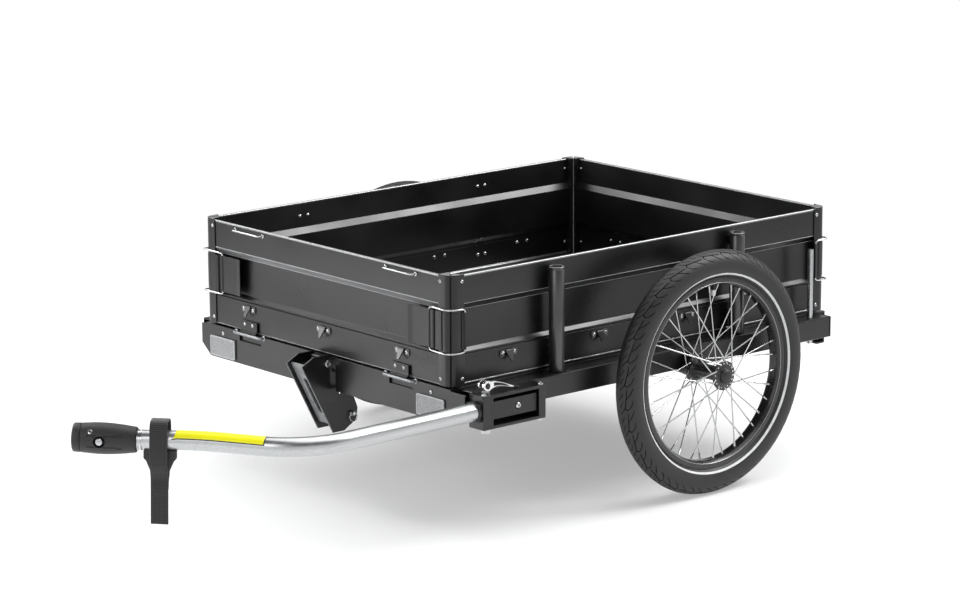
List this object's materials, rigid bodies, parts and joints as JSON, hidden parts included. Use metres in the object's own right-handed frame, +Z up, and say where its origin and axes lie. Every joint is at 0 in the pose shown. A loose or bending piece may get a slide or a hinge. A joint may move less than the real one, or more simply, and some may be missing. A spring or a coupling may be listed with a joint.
{
  "type": "bicycle cargo trailer",
  "caption": "Flat-bed bicycle trailer: open box with fold-down end panels and corner latches on spoked wheels, with a bent side drawbar and a coupling.",
  "frame": {"origin": "on the ground, at the middle of the overall length and width", "axes": "-Y is the direction of travel, +X the trailer's left, +Z up"},
  "size_m": [0.8798, 1.4105, 0.4195],
  "materials": {
    "black_anodised_aluminium": "satin",
    "black_painted_steel": "satin",
    "raw_aluminium": "brushed",
    "plated_steel": "polished",
    "tyre_rubber": "matte",
    "black_plastic": "matte",
    "black_webbing": "woven",
    "dark_floor_board": "film faced, matte",
    "clear_reflector": "gloss"
  },
  "bodies": {
    "chassis": {"side_rail_left": "black_anodised_aluminium", "side_rail_right": "black_anodised_aluminium", "rail_cap_left": "black_plastic", "rail_cap_right": "black_plastic", "front_beam": "black_anodised_aluminium", "rear_beam": "black_anodised_aluminium", "floor_bearer_front": "black_anodised_aluminium", "floor_bearer_rear": "black_anodised_aluminium", "floor_board": "dark_floor_board", "axle_tube": "black_painted_steel", "side_panel_left": "black_anodised_aluminium", "side_panel_right": "black_anodised_aluminium", "side_post_front_left": "black_anodised_aluminium", "side_post_front_right": "black_anodised_aluminium", "side_post_rear_left": "black_anodised_aluminium", "side_post_rear_right": "black_anodised_aluminium", "stake_front_left": "black_anodised_aluminium", "stake_front_right": "black_anodised_aluminium", "stake_rear_left": "black_anodised_aluminium", "stake_rear_right": "black_anodised_aluminium", "axle_pin_left": "plated_steel", "axle_pin_right": "plated_steel", "drawbar_bracket": "black_anodised_aluminium", "skewer": "plated_steel", "front_reflector_left": "clear_reflector", "front_reflector_right": "clear_reflector", "flag_tube": "raw_aluminium"},
    "wheel_left": {"tyre_left": "tyre_rubber", "rim_left": "black_anodised_aluminium", "spoked_hub_left": "black_anodised_aluminium", "valve_left": "black_plastic", "hub_cap_left": "black_plastic"},
    "wheel_right": {"tyre_right": "tyre_rubber", "rim_right": "black_anodised_aluminium", "spoked_hub_right": "black_anodised_aluminium", "valve_right": "black_plastic", "hub_cap_right": "black_plastic"},
    "front_panel": {"front_panel": "black_anodised_aluminium", "end_post_front_left": "black_anodised_aluminium", "end_post_front_right": "black_anodised_aluminium"},
    "rear_panel": {"rear_panel": "black_anodised_aluminium", "end_post_rear_left": "black_anodised_aluminium", "end_post_rear_right": "black_anodised_aluminium"},
    "latch_front_left": {"latch_lever_front_left": "black_anodised_aluminium"},
    "bail_front_left": {"latch_bail_front_left": "plated_steel"},
    "latch_front_right": {"latch_lever_front_right": "black_anodised_aluminium"},
    "bail_front_right": {"latch_bail_front_right": "plated_steel"},
    "latch_rear_left": {"latch_lever_rear_left": "black_anodised_aluminium"},
    "bail_rear_left": {"latch_bail_rear_left": "plated_steel"},
    "latch_rear_right": {"latch_lever_rear_right": "black_anodised_aluminium"},
    "bail_rear_right": {"latch_bail_rear_right": "plated_steel"},
    "drawbar": {"drawbar_tube": "raw_aluminium", "drawbar_sleeve": "black_plastic", "hitch_body": "black_plastic"},
    "strap": {"safety_strap": "black_webbing", "strap_keeper": "black_plastic"},
    "hitch_button": {"hitch_button": "plated_steel"},
    "quick_release": {"quick_release_lever": "raw_aluminium"},
    "cradle": {"front_cradle": "black_painted_steel"}
  },
  "joints": [
    {"name": "wheel_left_spin", "type": "hinge", "parent": "chassis", "child": "wheel_left", "pos_m": [0.3962, 0.3447, 0.2025], "axis": [1, 0, 0], "continuous": true},
    {"name": "wheel_right_spin", "type": "hinge", "parent": "chassis", "child": "wheel_right", "pos_m": [-0.3962, 0.3447, 0.2025], "axis": [1, 0, 0], "continuous": true},
    {"name": "front_panel_fold", "type": "hinge", "parent": "chassis", "child": "front_panel", "pos_m": [0, -0.1488, 0.238], "axis": [1, 0, 0], "range_deg": [0, 90]},
    {"name": "rear_panel_fold", "type": "hinge", "parent": "chassis", "child": "rear_panel", "pos_m": [0, 0.7002, 0.238], "axis": [-1, 0, 0], "range_deg": [0, 170]},
    {"name": "latch_front_left_lever", "type": "hinge", "parent": "front_panel", "child": "latch_front_left", "pos_m": [0.279, -0.1425, 0.3295], "axis": [0, 0, 1], "range_deg": [0, 150]},
    {"name": "latch_front_left_bail", "type": "hinge", "parent": "latch_front_left", "child": "bail_front_left", "pos_m": [0.268, -0.14145, 0.3295], "axis": [0, 0, 1], "range_deg": [-195, 0]},
    {"name": "latch_front_right_lever", "type": "hinge", "parent": "front_panel", "child": "latch_front_right", "pos_m": [-0.279, -0.1425, 0.3295], "axis": [0, 0, -1], "range_deg": [0, 150]},
    {"name": "latch_front_right_bail", "type": "hinge", "parent": "latch_front_right", "child": "bail_front_right", "pos_m": [-0.268, -0.14145, 0.3295], "axis": [0, 0, -1], "range_deg": [-195, 0]},
    {"name": "latch_rear_left_lever", "type": "hinge", "parent": "rear_panel", "child": "latch_rear_left", "pos_m": [0.279, 0.6939, 0.3295], "axis": [0, 0, -1], "range_deg": [0, 150]},
    {"name": "latch_rear_left_bail", "type": "hinge", "parent": "latch_rear_left", "child": "bail_rear_left", "pos_m": [0.268, 0.69285, 0.3295], "axis": [0, 0, -1], "range_deg": [-195, 0]},
    {"name": "latch_rear_right_lever", "type": "hinge", "parent": "rear_panel", "child": "latch_rear_right", "pos_m": [-0.279, 0.6939, 0.3295], "axis": [0, 0, 1], "range_deg": [0, 150]},
    {"name": "latch_rear_right_bail", "type": "hinge", "parent": "latch_rear_right", "child": "bail_rear_right", "pos_m": [-0.268, 0.69285, 0.3295], "axis": [0, 0, 1], "range_deg": [-195, 0]},
    {"name": "drawbar_release_slide", "type": "slide", "parent": "chassis", "child": "drawbar", "axis": [0, -1, 0], "range_m": [0, 0.13]},
    {"name": "safety_strap_swing", "type": "hinge", "parent": "drawbar", "child": "strap", "pos_m": [0.17601, -0.6033, 0.21131], "axis": [0.7206, 0.6929, -0.0251], "range_deg": [-60, 60]},
    {"name": "hitch_button_press", "type": "slide", "parent": "drawbar", "child": "hitch_button", "axis": [-0.6932, 0.7208, 0], "range_m": [0, 0.003], "stiffness_N_per_m": 600},
    {"name": "quick_release_turn", "type": "hinge", "parent": "chassis", "child": "quick_release", "pos_m": [0.368, -0.1129, 0.2505], "axis": [1, 0, 0], "range_deg": [0, 160]},
    {"name": "cradle_fold", "type": "hinge", "parent": "chassis", "child": "cradle", "pos_m": [0, -0.1507, 0.2295], "axis": [1, 0, 0], "range_deg": [0, 50]}
  ],
  "couplings": [
    {"joint": "latch_front_left_bail", "follows": "latch_front_left_lever", "ratio": -1.3},
    {"joint": "latch_front_right_bail", "follows": "latch_front_right_lever", "ratio": -1.3},
    {"joint": "latch_rear_left_bail", "follows": "latch_rear_left_lever", "ratio": -1.3},
    {"joint": "latch_rear_right_bail", "follows": "latch_rear_right_lever", "ratio": -1.3}
  ]
}
